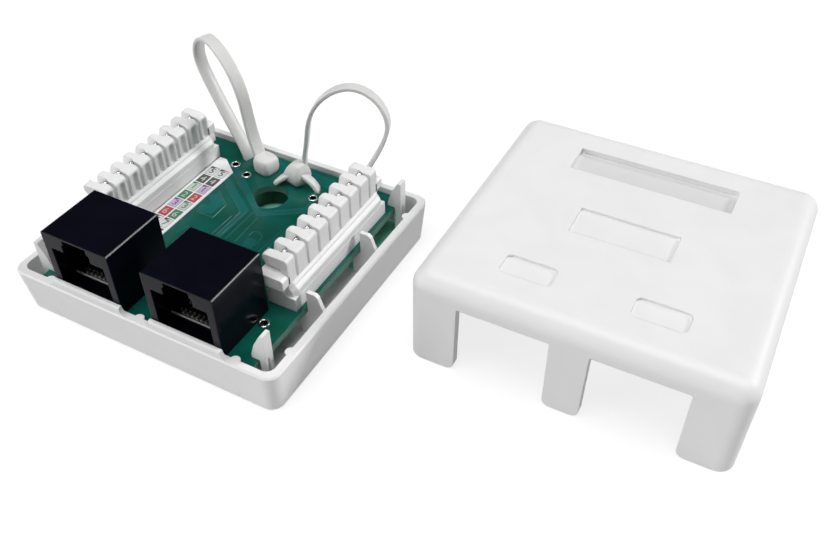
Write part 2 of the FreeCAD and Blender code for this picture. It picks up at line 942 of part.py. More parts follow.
def build():
    """Every piece of the box by the name of its node."""
    nodes = {
        "base": make_base(),
        "cover": make_cover(),
        "circuit_board": make_board(),
        "plated_holes": make_plated_holes(),
        "colour_label": make_label(),
        "cable_tie_left": make_left_tie(),
        "cable_tie_right": make_right_tie(),
    }
    for name, side in (("left", -1), ("right", 1)):
        jack_x = side * jack_spacing / 2
        nodes["jack_" + name + "_housing"] = make_jack_housing(jack_x)
        nodes["jack_" + name + "_carrier"] = make_jack_carrier(jack_x)
        for number, x in enumerate(contact_places(jack_x), 1):
            nodes["jack_" + name + "_contact_" + str(number)] = make_contact(x)
        block_x = idc_centre_x + side * idc_spacing / 2
        nodes["idc_" + name + "_body"] = make_idc_body(block_x, -side)
        nodes["idc_" + name + "_foot"] = make_idc_foot(block_x)
        for number, y in enumerate(slot_places(), 1):
            blade = make_blade(block_x + blade_offset, y)
            nodes["idc_" + name + "_blade_" + str(number)] = blade
    return nodes


os.makedirs("parts", exist_ok=True)
for node, shape in build().items():
    shape.exportStep("parts/" + node + ".step")
    print(node, "valid", shape.isValid(), "solids", len(shape.Solids), "volume", round(shape.Volume, 2))
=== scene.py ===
import bpy
import math
import numpy as np
from mathutils import Matrix, Vector


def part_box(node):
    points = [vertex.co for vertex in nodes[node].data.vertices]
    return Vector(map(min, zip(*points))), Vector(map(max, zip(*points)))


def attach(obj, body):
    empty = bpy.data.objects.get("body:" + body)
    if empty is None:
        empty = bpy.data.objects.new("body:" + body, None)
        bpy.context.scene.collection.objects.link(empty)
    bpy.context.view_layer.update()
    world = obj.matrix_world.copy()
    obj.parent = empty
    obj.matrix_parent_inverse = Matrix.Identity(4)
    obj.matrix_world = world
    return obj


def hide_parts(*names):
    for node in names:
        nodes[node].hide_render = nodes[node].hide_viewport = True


# Surface mount jack box, shown open
# The base lies flat and the cover stands beside it. Metres, the origin under the middle of
# the base, +X to the right along the side with the jacks, +Z up. Profiles and plan points are
# in millimetres, and each is scaled by mm where it becomes a mesh.

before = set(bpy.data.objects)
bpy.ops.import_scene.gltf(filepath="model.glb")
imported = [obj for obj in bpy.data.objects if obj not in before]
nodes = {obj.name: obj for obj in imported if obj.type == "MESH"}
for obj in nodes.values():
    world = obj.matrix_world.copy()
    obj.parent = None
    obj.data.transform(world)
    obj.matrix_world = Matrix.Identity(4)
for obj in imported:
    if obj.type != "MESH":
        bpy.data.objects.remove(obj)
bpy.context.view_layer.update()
scene = bpy.context.scene
scene.view_settings.view_transform = "Standard"
mm = 0.001


# Nodes and meshes
# What every piece below needs: a shader node with its inputs set or joined, a mesh made of
# grids of points, and an object that carries it.

def set_inputs(tree, node, inputs):
    """Sets a node's inputs, in order or by name, each to a value or to another's output."""
    pairs = inputs.items() if isinstance(inputs, dict) else enumerate(inputs)
    for key, value in pairs:
        if isinstance(value, bpy.types.NodeSocket):
            tree.links.new(value, node.inputs[key])
        else:
            node.inputs[key].default_value = value


def new_node(tree, kind, inputs=(), **settings):
    """Shader node of this kind with its settings and inputs."""
    node = tree.nodes.new("ShaderNode" + kind)
    for name, value in settings.items():
        setattr(node, name, value)
    set_inputs(tree, node, inputs)
    return node


def on_numbers(tree, operation, *inputs):
    """Result of one operation on numbers."""
    return new_node(tree, "Math", inputs, operation=operation).outputs["Value"]


def on_vectors(tree, operation, *inputs):
    """Result of one operation on vectors; a dot product gives a number."""
    node = new_node(tree, "VectorMath", inputs, operation=operation)
    return node.outputs["Value" if operation == "DOT_PRODUCT" else "Vector"]


def ramp(tree, value, from_low, from_high, to_low=0.0, to_high=1.0, curve="LINEAR"):
    """A value carried from one range to another and held at its ends."""
    node = new_node(tree, "MapRange", {"Value": value, "From Min": from_low, "From Max": from_high,
                                       "To Min": to_low, "To Max": to_high},
                    interpolation_type=curve)
    return node.outputs["Result"]


def mixed(tree, share, first, second):
    """Colour between two, each a plain colour or another node's output."""
    pair = [colour if isinstance(colour, bpy.types.NodeSocket) else (*colour, 1)
            for colour in (first, second)]
    node = new_node(tree, "Mix", {"Factor": share, "A": pair[0], "B": pair[1]}, data_type="RGBA")
    return node.outputs["Result"]


def bump(tree, height, strength, distance, under=None):
    """Normal of a fine relief, laid over another normal where one is given."""
    inputs = {"Height": height, "Strength": strength, "Distance": distance}
    if under is not None:
        inputs["Normal"] = under
    return new_node(tree, "Bump", inputs).outputs["Normal"]


def object_place(tree):
    """Place on the object, in its own coordinates."""
    return new_node(tree, "TexCoord").outputs["Object"]


def axes(tree, vector):
    """The X, Y and Z of a vector."""
    return new_node(tree, "SeparateXYZ", [vector]).outputs


def new_material(name, colour, roughness):
    """Principled material with its plain colour and roughness; returns it with its parts."""
    material = bpy.data.materials.new(name)
    material.use_nodes = True
    tree = material.node_tree
    shader = tree.nodes["Principled BSDF"]
    set_inputs(tree, shader, {"Base Color": (*colour, 1), "Roughness": roughness})
    return material, tree, shader


def tint(material, share, colour):
    """Lays a colour over a material's own one, by a share between 0 and 1."""
    tree = material.node_tree
    socket = tree.nodes["Principled BSDF"].inputs["Base Color"]
    tree.links.new(mixed(tree, share, socket.links[0].from_socket, colour), socket)


def joined_mesh(name, grids, solids=()):
    """One mesh of several grids of points, and of solids given as (points, faces)."""
    points = []
    faces = []
    count = 0
    for grid in grids:
        index = count + np.arange(grid.shape[0] * grid.shape[1]).reshape(grid.shape[:2])
        faces += np.stack([index[:-1, :-1], index[1:, :-1], index[1:, 1:], index[:-1, 1:]],
                          axis=-1).reshape(-1, 4).tolist()
        points.append(grid.reshape(-1, 3))
        count += grid.shape[0] * grid.shape[1]
    for solid, solid_faces in solids:
        faces += [[count + index for index in face] for face in solid_faces]
        points.append(solid)
        count += len(solid)
    mesh = bpy.data.meshes.new(name)
    mesh.from_pydata(np.concatenate(points).tolist(), [], faces)
    mesh.update()
    return mesh


def wrapped(grid):
    """The grid with its first column repeated, so that it closes round."""
    return np.concatenate([grid, grid[:, :1]], axis=1)


def add_piece(name, mesh, material, smooth=True):
    """Links a mesh as an object at the origin, with one material."""
    mesh.materials.append(material)
    mesh.polygons.foreach_set("use_smooth", np.full(len(mesh.polygons), smooth))
    piece = bpy.data.objects.new(name, mesh)
    scene.collection.objects.link(piece)
    return piece


# Camera
# It looks down on the box's front right corner, as the photograph does. Turn, height and
# place were fitted to the box's own corners and edges in a picture 840 pixels wide.

camera_turn = math.radians(27.748)
camera_rise = math.radians(43.310)
camera_roll = math.radians(0.372)
camera_place = Vector((100.22, -106.45, 129.64)) * mm
picture_width = 840
focal_pixels = 897.45

camera_data = bpy.data.cameras.new("camera")
camera_data.sensor_width = 36
camera_data.lens = focal_pixels / picture_width * camera_data.sensor_width
camera_data.clip_start = 0.01
camera_data.clip_end = 10
camera = bpy.data.objects.new("camera", camera_data)
scene.collection.objects.link(camera)
back = Vector((math.sin(camera_turn) * math.cos(camera_rise),
               -math.cos(camera_turn) * math.cos(camera_rise), math.sin(camera_rise)))
right = Vector((0, 0, 1)).cross(back).normalized()
up = back.cross(right)
turned = Matrix((right, up, back)).transposed()
camera.matrix_world = (Matrix.Translation(camera_place) @ turned.to_4x4()
                       @ Matrix.Rotation(camera_roll, 4, "Z"))
scene.camera = camera


# Light
# A wide soft lamp overhead, one low in front on the left and one behind on the right, in a
# dim room that is a little paler in front than behind.

def add_sun(name, toward, energy, angle):
    """Distant lamp shining from this direction, as wide as the angle in degrees."""
    data = bpy.data.lights.new(name, "SUN")
    data.energy = energy
    data.angle = math.radians(angle)
    lamp = bpy.data.objects.new(name, data)
    lamp.rotation_euler = Vector(toward).to_track_quat("Z", "Y").to_euler()
    scene.collection.objects.link(lamp)


add_sun("overhead_lamp", (0.0, -0.12, 0.99), 1.9, 40)
add_sun("front_lamp", (-0.62, -0.72, 0.32), 0.98, 35)
add_sun("back_lamp", (0.68, 0.58, 0.46), 1.5, 14)

room_bright = 0.12
room_dark = 0.06
room_toward = (-0.35, -0.94, 0.0)
room_fade = (-0.55, 0.7)
room = bpy.data.worlds.new("room")
room.use_nodes = True
tree = room.node_tree
direction = new_node(tree, "TexCoord").outputs["Generated"]
facing = on_vectors(tree, "DOT_PRODUCT", direction, room_toward)
strength = ramp(tree, facing, *room_fade, room_dark, room_bright, curve="SMOOTHSTEP")
set_inputs(tree, tree.nodes["Background"], {"Color": (1, 1, 1, 1), "Strength": strength})
scene.world = room


# Table top
# A wide white sheet of matt card under both parts. It keeps their shadows, and what it
# throws back on them is dimmer than what the camera sees.

card_reach = 1.5
card_drop = 0.05 * mm
card_glow = 0.80
card_shaded = 0.26
card_thrown = 0.64
card, tree, shader = new_material("white_card", (0.9, 0.9, 0.9), 0.9)
ray = new_node(tree, "LightPath").outputs
mirrored = on_numbers(tree, "MAXIMUM", ray["Is Glossy Ray"], ray["Is Transmission Ray"])
seen = on_numbers(tree, "MAXIMUM", ray["Is Camera Ray"], mirrored)
fibre = new_node(tree, "TexNoise", {"Vector": object_place(tree), "Scale": 900})
set_inputs(tree, shader, {
    "Base Color": ramp(tree, seen, 0.0, 1.0, card_thrown, card_shaded),
    "Specular IOR Level": 0.0,
    "Emission Color": (1, 1, 1, 1),
    "Emission Strength": on_numbers(tree, "MULTIPLY", seen, card_glow),
    "Normal": bump(tree, fibre.outputs["Fac"], 0.02, 0.1 * mm),
})
side = np.linspace(-card_reach, card_reach, 3)
card_points = np.stack([*np.meshgrid(side, side, indexing="ij"), np.full((3, 3), -card_drop)], -1)
table = add_piece("table_top", joined_mesh("table_top", [card_points]), card, smooth=False)


# Base tray
# A shallow open tray injection-moulded in white styrene. Its faces are smooth with a faint
# satin grain from the mould, and its edges are slightly rounded. Under the board's back
# part its floor is painted with the green of the light that comes through the board.

plastic_grain = 5000.0
plastic_flow = 120.0


def make_skin_group():
    """Moulded skin: fine grain for the bump, slow flow marks for colour and shine."""
    group = bpy.data.node_groups.new("moulded_skin", "ShaderNodeTree")
    face = group.interface
    for name, value in (("Grain", plastic_grain), ("Flow", plastic_flow)):
        socket = face.new_socket(name, in_out="INPUT", socket_type="NodeSocketFloat")
        socket.default_value = value
    for name in ("Height", "Tone"):
        face.new_socket(name, in_out="OUTPUT", socket_type="NodeSocketFloat")
    start = group.nodes.new("NodeGroupInput")
    end = group.nodes.new("NodeGroupOutput")
    place = object_place(group)
    grain = new_node(group, "TexNoise",
                     {"Vector": place, "Scale": start.outputs["Grain"], "Detail": 2})
    flow = new_node(group, "TexNoise", {"Vector": place, "Scale": start.outputs["Flow"],
                                        "Detail": 3, "Distortion": 0.6})
    set_inputs(group, end, {"Height": grain.outputs["Fac"], "Tone": flow.outputs["Fac"]})
    return group


skin = make_skin_group()


def skin_marks(tree, grain, flow):
    """Height and tone of the moulded skin, for grain and flow marks of these scales."""
    return new_node(tree, "Group", {"Grain": grain, "Flow": flow}, node_tree=skin).outputs


def moulded(name, light, dark, roughness, grain=plastic_grain, flow=plastic_flow,
            depth=0.01 * mm, strength=0.15, edge=0.2 * mm):
    """Moulded plastic: two close colours mixed by the flow marks, grain bump, eased edges."""
    material, tree, shader = new_material(name, light, roughness)
    marks = skin_marks(tree, grain, flow)
    eased = new_node(tree, "Bevel", {"Radius": edge}).outputs["Normal"] if edge else None
    set_inputs(tree, shader, {
        "Base Color": mixed(tree, ramp(tree, marks["Tone"], 0.35, 0.65), dark, light),
        "Roughness": ramp(tree, marks["Tone"], 0.3, 0.7, roughness * 0.9, roughness * 1.12),
        "Normal": bump(tree, marks["Height"], strength, depth, eased),
    })
    return material


def dress(names, material):
    """Gives CAD nodes a material in place of their plain one."""
    for name in names:
        for slot in nodes[name].material_slots:
            slot.material = material


def from_middle(tree, low, high):
    """Distance from the middle of a box along each axis, never below zero."""
    offset = on_vectors(tree, "SUBTRACT", object_place(tree), (low + high) / 2)
    return on_vectors(tree, "ABSOLUTE", offset)


# Painted light: the green that comes through the board, tinted onto the floor beneath its back part.
green_light_front = 9.75 * mm
painted_green_light = (0.28, 0.80, 0.58)
green_light_fade = (1.03, 0.97)
board_low, board_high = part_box("circuit_board")
green_light_low = Vector((-board_high.x, green_light_front, 0))
green_light_high = Vector((board_high.x, board_high.y, board_low.z))
base_white = moulded("base_white", (0.88, 0.88, 0.88), (0.855, 0.855, 0.855), 0.45)
tree = base_white.node_tree
shares = axes(tree, on_vectors(tree, "DIVIDE", from_middle(tree, green_light_low, green_light_high),
                               (green_light_high - green_light_low) / 2))
widest = on_numbers(tree, "MAXIMUM", shares["X"], shares["Y"])
most = on_numbers(tree, "MAXIMUM", widest, shares["Z"])
tint(base_white, ramp(tree, most, *green_light_fade), painted_green_light)
dress(["base"], base_white)


# Cover
# A deeper tray in the same white styrene, with a window for a paper label in its top, three
# shallow recesses and two openings for the jacks. The window's floor is coloured a darker grey.

window_level = 20.0 * mm
level_margin = 0.05 * mm
window_margin = 3.0 * mm
window_grey = (0.73, 0.73, 0.735)
cover_low, cover_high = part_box("cover")
cover_white = moulded("cover_white", (0.885, 0.885, 0.885), (0.865, 0.865, 0.865), 0.45,
                      edge=0.3 * mm)
tree = cover_white.node_tree
level = axes(tree, object_place(tree))["Z"]
at_level = on_numbers(tree, "COMPARE", level, window_level, level_margin)
inner_half = (cover_high - cover_low) / 2 - Vector([window_margin] * 3)
past = axes(tree, on_vectors(tree, "SUBTRACT", from_middle(tree, cover_low, cover_high),
                             inner_half))
farthest = on_numbers(tree, "MAXIMUM", past["X"], past["Y"])
inside = on_numbers(tree, "LESS_THAN", farthest, 0.0)
tint(cover_white, on_numbers(tree, "MULTIPLY", at_level, inside), window_grey)
dress(["cover"], cover_white)


# Circuit board
# Glass-filled epoxy sheet 1.6 mm thick with copper tracks under a glossy green lacquer. The
# sheet lets some green light through. Its cut edges show the bare resin.

board_top = board_high.z
lacquer_dark = (0.003, 0.085, 0.058)
lacquer_light = (0.004, 0.118, 0.098)
bare_resin = (0.10, 0.22, 0.18)
face_margin = 0.04 * mm


def board_skin(name, dark, light, bare):
    """Lacquered board: woven glass showing faintly as crossed waves, bare resin on cut edges."""
    material, tree, shader = new_material(name, light, 0.2)
    place = object_place(tree)
    weave = [new_node(tree, "TexWave", {"Vector": place, "Scale": 320, "Distortion": 0.6},
                      bands_direction=direction).outputs["Fac"] for direction in ("X", "Y")]
    clouds = new_node(tree, "TexNoise", {"Vector": place, "Scale": 140, "Detail": 2})
    colour = mixed(tree, ramp(tree, clouds.outputs["Fac"], 0.3, 0.7), dark, light)
    on_edge = on_numbers(tree, "COMPARE", axes(tree, place)["Z"], (board_low.z + board_high.z) / 2,
                         (board_high.z - board_low.z) / 2 - face_margin)
    set_inputs(tree, shader, {
        "Base Color": mixed(tree, on_edge, colour, bare),
        "Normal": bump(tree, on_numbers(tree, "MULTIPLY", *weave), 0.12, 0.02 * mm),
        "Specular IOR Level": 0.4,
        "Subsurface Weight": 0.5,
        "Subsurface Radius": (0.15, 1.0, 0.6),
        "Subsurface Scale": 2.0 * mm,
    })
    return material


board_green = board_skin("board_green", lacquer_dark, lacquer_light, bare_resin)
dress(["circuit_board"], board_green)


# Tracks
# Copper foil etched into tracks and pads under the lacquer. Each stands a little proud of the
# sheet and shows a lighter green.

track_rise = 0.03 * mm
mitre_limit = 0.5


def ribbon_points(path, width, rise):
    """Corners of a low flat-topped ribbon along a plan path: [station, corner, 3].

    Each station is offset sideways by half the width along the mitre of its two runs.
    """
    path = np.array(path, float) * mm
    runs = np.diff(path, axis=0)
    runs /= np.linalg.norm(runs, axis=1, keepdims=True)
    before = np.concatenate([runs[:1], runs])
    after = np.concatenate([runs, runs[-1:]])
    mitre = before + after
    mitre /= np.linalg.norm(mitre, axis=1, keepdims=True)
    stretch = 1 / np.maximum((mitre * after).sum(1, keepdims=True), mitre_limit)
    aside = np.stack([-mitre[:, 1], mitre[:, 0]], axis=1) * stretch * width * mm / 2
    shape = np.array([(-1.0, 0.0), (-0.8, 1.0), (0.8, 1.0), (1.0, 0.0)])
    plan = path[:, None, :] + aside[:, None, :] * shape[None, :, :1]
    height = np.broadcast_to(board_top + shape[None, :, 1:] * rise, plan.shape[:2] + (1,))
    return np.concatenate([plan, height], axis=2)


# Each run is its path in plan and its width.
track_runs = [
    ([(-13.5, 18.4), (1.3, 7.8), (10.6, 14.2)], 0.35),
    ([(-10.2, 18.0), (-9.6, 15.2), (0.6, 8.9), (8.4, 14.6), (8.6, 17.2)], 0.35),
    ([(-11.0, 12.9), (-3.6, 7.8), (-2.8, 6.8), (-2.8, -1.5)], 0.3),
    ([(-11.5, 11.2), (-7.0, 7.6), (-6.9, 2.9), (-11.2, 2.9)], 0.3),
    ([(-0.4, 8.2), (-0.35, -1.5)], 0.35),
    ([(1.5, 7.4), (1.9, -1.5)], 0.35),
    ([(-1.7, 7.7), (-2.0, -1.5)], 0.3),
    ([(-3.7, 5.2), (-3.8, -1.5)], 0.3),
    ([(3.3, 1.8), (3.3, 3.0), (4.6, 3.6), (6.0, 2.8), (6.3, 0.6), (5.8, -1.5)], 0.3),
    ([(8.4, 6.4), (8.0, -1.5)], 0.3),
    ([(-9.6, -1.5), (-10.4, -4.6)], 0.3),
]
tracks = joined_mesh("board_tracks", [ribbon_points(p, w, track_rise) for p, w in track_runs])
track_green = board_skin("track_green", (0.016, 0.130, 0.110), (0.022, 0.155, 0.130),
                         (0.020, 0.140, 0.120))
board_tracks = add_piece("board_tracks", tracks, track_green, smooth=False)
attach(board_tracks, "root")


# Copper areas
# Wide copper areas under the same lacquer, between and beside the tracks. They show as bands
# a shade lighter and bluer than the bare sheet.

area_rise = 0.015 * mm
area_runs = [
    ([(-12.6, 15.3), (-2.2, 7.9), (-2.2, -1.5)], 1.7),
    ([(-13.2, 19.6), (0.9, 8.4), (9.8, 15.0)], 1.5),
    ([(-11.6, 9.6), (-9.0, 7.4), (-9.0, 4.6), (-11.6, 4.0)], 2.6),
    ([(-6.6, 24.5), (9.5, 24.5)], 3.6),
    ([(4.6, 1.2), (4.9, -1.5)], 2.4),
    ([(12.6, 12.0), (9.6, 8.0), (9.4, -1.5)], 1.6),
]
areas = joined_mesh("copper_areas", [ribbon_points(p, w, area_rise) for p, w in area_runs])
area_green = board_skin("area_green", (0.006, 0.120, 0.108), (0.009, 0.142, 0.130),
                        (0.008, 0.120, 0.100))
copper_areas = add_piece("copper_areas", areas, area_green, smooth=False)
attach(copper_areas, "root")


# Plated holes
# Copper rings round four holes, tinned bright by the solder bath. Their rounded lips stand a
# little proud of the board, and their bores are painted dark for the shade inside them.

metal_grain = 3000
metal_flow = 900


def plated(name, colour, roughness):
    """Plated metal with a slightly uneven, hazy skin."""
    material, tree, shader = new_material(name, colour, roughness)
    marks = skin_marks(tree, metal_grain, metal_flow)
    set_inputs(tree, shader, {
        "Metallic": 1.0,
        "Roughness": ramp(tree, marks["Tone"], 0.35, 0.65, roughness * 0.7, roughness * 1.5),
        "Normal": bump(tree, marks["Height"], 0.3, 0.03 * mm),
    })
    return material


ring_places = [(-13.95, 20.58), (-9.4, 18.5), (8.2, 18.5), (20.65, -17.5)]
ring_profile = np.array([(0.71, -1.6), (0.71, -0.1), (0.71, 0.04), (0.73, 0.10), (0.80, 0.15),
                         (0.90, 0.16), (1.02, 0.13), (1.09, 0.07), (1.11, 0.0)])
ring_sides = 40
bore_shade_fade = 0.1 * mm
painted_bore_shade = 0.03
ring_bright = 0.86


def ring_points(x, y):
    """Eyelet turned from its profile of (radius, height over the board): [station, side, 3]."""
    turn = np.linspace(0, 2 * np.pi, ring_sides + 1)[None, :]
    radius = ring_profile[:, :1] * mm
    height = np.broadcast_to(board_top + ring_profile[:, 1:] * mm, (len(ring_profile), turn.size))
    return np.stack([x * mm + radius * np.cos(turn), y * mm + radius * np.sin(turn), height], -1)


ring_tin = plated("ring_tin", (0.86, 0.86, 0.85), 0.22)
tree = ring_tin.node_tree
height = axes(tree, object_place(tree))["Z"]
# Painted shade: below the board's face the bore is coloured dark.
set_inputs(tree, tree.nodes["Principled BSDF"], {
    "Base Color": ramp(tree, height, board_top - bore_shade_fade, board_top, painted_bore_shade, ring_bright),
})
rings = joined_mesh("tinned_rings", [ring_points(x, y) for x, y in ring_places])
tinned_rings = add_piece("tinned_rings", rings, ring_tin)
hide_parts("plated_holes")
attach(tinned_rings, "root")


# Colour label
# A slip of white card beside the left block, printed with two rows of coloured squares and
# the numbers of the wires. The ink has a dull, slightly speckled face.

label_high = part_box("colour_label")[1]
label_white = moulded("label_white", (0.88, 0.88, 0.88), (0.85, 0.85, 0.85), 0.6, grain=2500,
                      strength=0.1, edge=0)
dress(["colour_label"], label_white)

ink_step = 0.02 * mm
cell_pitch = 3.2
cell_depth = 2.9
cell_back = 17.3
row_middles = (-16.85, -14.28)
cell_width = 2.2
line_width = 0.09
numeral_size = 2.5
grey = (0.05, 0.05, 0.05)
frame_grey = (0.22, 0.22, 0.22)
pale = (0.62, 0.62, 0.62)
wire_order = "54123678"
flag_drop = 0.75
flag_share = 0.5
card_pale = (0.72, 0.72, 0.72)
# Each ink is the square's ground, its numeral, and the flag in its corner where it has one.
inks = {
    "plain": (card_pale, grey, grey),
    "dark": ((0.085, 0.085, 0.08), pale, None),
    "white_green": ((0.52, 0.62, 0.56), (0.10, 0.16, 0.12), (0.05, 0.13, 0.07)),
    "green": ((0.06, 0.22, 0.11), pale, None),
    "white_orange": ((0.56, 0.46, 0.68), (0.16, 0.08, 0.20), (0.16, 0.05, 0.10)),
    "orange": ((0.45, 0.07, 0.08), (0.72, 0.50, 0.50), None),
}
row_inks = (
    ("plain", "dark", "white_green", "green", "white_orange", "orange", "plain", "dark"),
    ("plain", "dark", "white_orange", "orange", "white_green", "green", "plain", "dark"),
)


def numeral_outline(digit):
    """Flat filled numeral: its points round its own middle, and its faces."""
    curve = bpy.data.curves.new("numeral", "FONT")
    curve.body = digit
    curve.size = numeral_size
    curve.resolution_u = 3
    holder = bpy.data.objects.new("numeral", curve)
    flat = bpy.data.meshes.new_from_object(holder)
    points = np.zeros(len(flat.vertices) * 3)
    flat.vertices.foreach_get("co", points)
    points = points.reshape(-1, 3)[:, :2]
    faces = [list(face.vertices) for face in flat.polygons]
    bpy.data.objects.remove(holder)
    bpy.data.curves.remove(curve)
    bpy.data.meshes.remove(flat)
    return points - (points.min(0) + points.max(0)) / 2, faces


def printed_cell(x, y, digit, ink):
    """Shapes of one printed square: its ground, outline, corner flag and numeral."""
    ground, figure, flag = inks[ink]
    half_x = cell_width / 2
    half_y = cell_depth / 2
    square = np.array([(-half_x, -half_y), (half_x, -half_y), (half_x, half_y), (-half_x, half_y)])
    shapes = [(square, [[0, 1, 2, 3]], 1, ground)]
    if flag:
        inner = square * (1 - 2 * line_width / cell_width)
        frame_faces = [[i, (i + 1) % 4, 4 + (i + 1) % 4, 4 + i] for i in range(4)]
        shapes.append((np.concatenate([square, inner]), frame_faces, 2, frame_grey))
        corner = np.array([(-half_x, half_y), (-half_x, half_y - flag_drop),
                           (half_x * flag_share, half_y)])
        shapes.append((corner, [[0, 1, 2]], 3, flag))
    points, faces = numeral_outline(digit)
    shapes.append((points, faces, 4, figure))
    return [(points + (x, y), faces, level, colour) for points, faces, level, colour in shapes]


def print_mesh():
    """One mesh of every printed shape, its ink kept as a colour on each point."""
    points = []
    faces = []
    colours = []
    for x, kinds in zip(row_middles, row_inks):
        for i, (digit, ink) in enumerate(zip(wire_order, kinds)):
            y = cell_back - cell_depth / 2 - i * cell_pitch
            for flat, flat_faces, level, colour in printed_cell(x, y, digit, ink):
                faces += [[index + len(points) for index in face] for face in flat_faces]
                height = label_high.z + level * ink_step
                points += [(a * mm, b * mm, height) for a, b in flat]
                colours += [(*colour, 1)] * len(flat)
    mesh = bpy.data.meshes.new("label_print")
    mesh.from_pydata(points, [], faces)
    ink = mesh.color_attributes.new("ink", "FLOAT_COLOR", "POINT")
    ink.data.foreach_set("color", np.array(colours, dtype=np.float32).ravel())
    mesh.update()
    return mesh


ink_material, tree, shader = new_material("label_ink", card_pale, 0.55)
printed = new_node(tree, "Attribute", attribute_name="ink").outputs["Color"]
speckle = new_node(tree, "TexNoise", {"Vector": object_place(tree), "Scale": 4000, "Detail": 1})
density = ramp(tree, speckle.outputs["Fac"], 0.3, 0.7, 0.86, 1.12)
inked = new_node(tree, "VectorMath", {0: printed, "Scale": density}, operation="SCALE")
set_inputs(tree, shader, {"Base Color": inked.outputs["Vector"]})
label_print = add_piece("label_print", print_mesh(), ink_material, smooth=False)
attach(label_print, "root")


# Jack housings
# Two glossy black sockets, with a dark blue cast and a painted highlight along their upper
# right edges. A thin black web closes the floor of each in front of the contact carrier, whose
# front lip has a painted highlight too.

black_light = (0.0030, 0.0035, 0.0085)
black_dark = (0.0022, 0.0026, 0.0060)
edge_glint_facing = (0.707, 0.0, 0.707)
edge_glint_fade = (0.90, 0.99)
painted_edge_glint = (0.34, 0.34, 0.33)
jack_black = moulded("jack_black", black_light, black_dark, 0.17, grain=4000, depth=0.006 * mm,
                     edge=0.3 * mm)
tree = jack_black.node_tree
set_inputs(tree, tree.nodes["Principled BSDF"], {"Specular IOR Level": 0.1})
# Painted highlight: edges whose eased normal leans up and to the right are tinted pale.
leaning = on_vectors(tree, "DOT_PRODUCT", tree.nodes["Bevel"].outputs["Normal"], edge_glint_facing)
tint(jack_black, ramp(tree, leaning, *edge_glint_fade), painted_edge_glint)
dress(["jack_left_housing", "jack_right_housing"], jack_black)

carrier_front = -25.0 * mm
carrier_top = 11.7 * mm
lip_width = 0.28 * mm
painted_lip_highlight = (0.30, 0.30, 0.31)
carrier_black = moulded("carrier_black", black_light, black_dark, 0.3)
tree = carrier_black.node_tree
corner = axes(tree, object_place(tree))
# Painted highlight: a pale band along the carrier's top front edge.
high = on_numbers(tree, "COMPARE", corner["Z"], carrier_top, lip_width)
near = on_numbers(tree, "COMPARE", corner["Y"], carrier_front, lip_width)
tint(carrier_black, on_numbers(tree, "MULTIPLY", high, near), painted_lip_highlight)
dress(["jack_left_carrier", "jack_right_carrier"], carrier_black)

web_low = 0.02
web_high = 0.25
web_inset = 0.1


def prism(sections, x, stations):
    """Solid through (x, z) sections standing at stations along Y: its points and faces."""
    count = len(sections[0])
    last = (len(sections) - 1) * count
    points = [(x + a, y, b) for section, y in zip(sections, stations) for a, b in section]
    faces = [[start + i, start + (i + 1) % count, start + count + (i + 1) % count,
              start + count + i] for start in range(0, last, count) for i in range(count)]
    faces += [list(range(count))[::-1], list(range(last, last + count))]
    return np.array(points) * mm, faces


for side_name in ("left", "right"):
    carrier_low, carrier_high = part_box("jack_" + side_name + "_carrier")
    housing_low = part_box("jack_" + side_name + "_housing")[0]
    left_edge, right_edge = carrier_low.x / mm, carrier_high.x / mm
    foot = carrier_low.z / mm
    section = ((left_edge, foot + web_low), (right_edge, foot + web_low),
               (right_edge, foot + web_high), (left_edge, foot + web_high))
    name = "jack_floor_" + side_name
    web = prism([section] * 2, 0, [housing_low.y / mm + web_inset, carrier_low.y / mm])
    floor = add_piece(name, joined_mesh(name, [], [web]), jack_black, smooth=False)
    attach(floor, "root")


# Jack contacts
# Eight springs of phosphor bronze wire in each jack, thinly gold-plated and worn pale. They
# rise from the front of the contact carrier towards the back.

gold = plated("gold", (0.86, 0.77, 0.58), 0.4)
dress([name for name in nodes if "_contact_" in name], gold)


# Punch-down blocks
# White polyester blocks moulded with nine teeth each; a wire is pushed down into the slot
# between two of them. The slots open wider to the left, where the wires come in. Only the
# left block's teeth are fluted, on the side towards the middle of the board.

block_white = moulded("block_white", (0.88, 0.88, 0.88), (0.855, 0.855, 0.855), 0.45)
dress(["idc_left_foot", "idc_right_foot"], block_white)

# Millimetres. Sections are (x, z), with x from the middle line of the block.
block_middle_y = 4.7
block_half_length = 16.335
slot_pitch = 3.81
slot_count = 8
slot_half = 0.225
tooth_reach = 2.8
tooth_top = 20.45
tooth_cap = 0.02
lip_overhang = 1.8
lip_overlap = 0.5
lip_top = 17.15
mouth_depth = 1.6
crease_angle = math.radians(27)
blocks = (("left", -23.15, True, (0.7, 1.2)), ("right", 20.15, False, (0.7, 0.7)))
tooth_levels = (14.5, 15.6, 16.8, 17.1, 17.2, 18.0, 18.7, 19.0, 19.3, 19.45, 19.7, 19.95, 20.15,
                20.3, 20.4, 20.45)
bar_section = ((-2.8, 12.12), (4.15, 12.12), (4.15, 13.45), (3.95, 13.8), (3.45, 14.2),
               (3.35, 14.5), (2.85, 14.95), (2.78, 14.8), (-2.8, 14.8))
end_section = ((-2.8, 12.12), (3.45, 12.12), (3.35, 13.1), (3.1, 13.5), (2.7, 13.9),
               (2.65, 14.2), (2.45, 14.6), (2.4, 14.8), (-2.8, 14.8))
lip_section = ((-2.8, 14.55), (2.5, 14.55), (2.8, 14.9), (2.8, 16.7), (2.3, lip_top),
               (-2.8, lip_top))
end_taper = 1.0
slot_nose = ((-2.8, 0.50, 0.20), (-2.68, 0.66, 0.36), (-2.4, 0.77, 0.47), (-2.0, 0.82, 0.46),
             (-1.6, 0.88, 0.53), (-0.9, 0.90, 0.56), (-0.15, 0.92, 0.60))
slot_tail = ((1.6, 1.0, 0.90), (2.6, 1.0, 0.93), (2.8, 0.90, 0.84))
